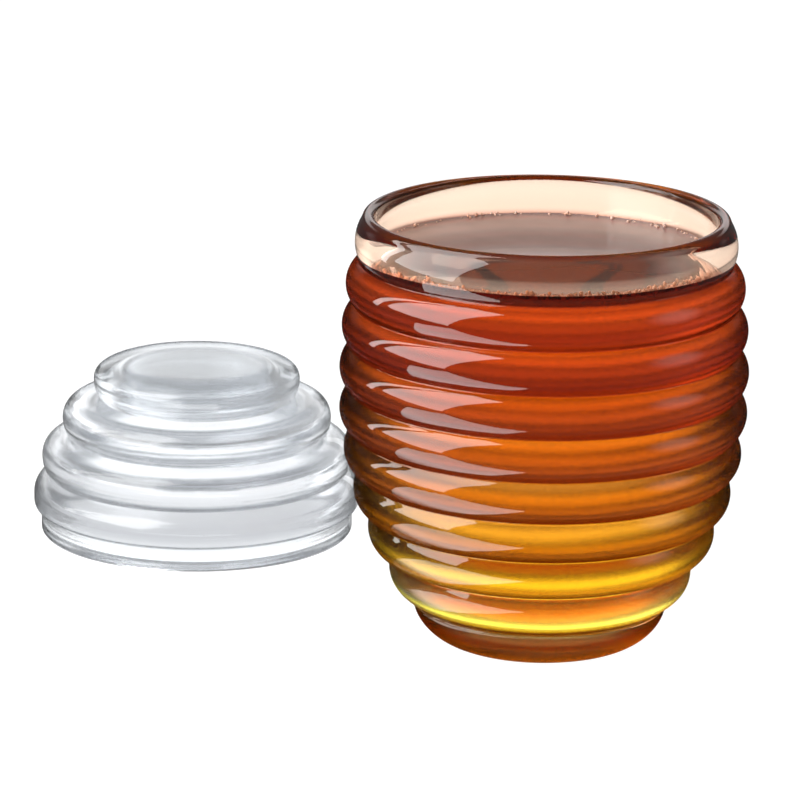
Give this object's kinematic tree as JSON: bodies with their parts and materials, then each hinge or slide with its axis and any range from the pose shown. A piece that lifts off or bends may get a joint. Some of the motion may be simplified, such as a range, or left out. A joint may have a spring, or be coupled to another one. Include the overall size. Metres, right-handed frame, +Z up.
{
  "type": "glass honey pot",
  "caption": "Clear glass beehive honey pot, round and ringed, filled with honey to the neck, with its stepped glass lid standing beside it.",
  "frame": {"origin": "middle of the pot's foot, on the surface it stands on", "axes": "+Z up along the pot's axis, +Y towards the back of the view, +X to the right; the lid stands at -X +Y"},
  "size_m": [0.1817, 0.1802, 0.1067],
  "materials": {
    "pot_glass": "clear polished glass",
    "honey": "clear amber honey",
    "lid_glass": "clear polished glass"
  },
  "bodies": {
    "root": {"pot": "pot_glass", "honey": "honey", "lid": "lid_glass"}
  },
  "joints": []
}
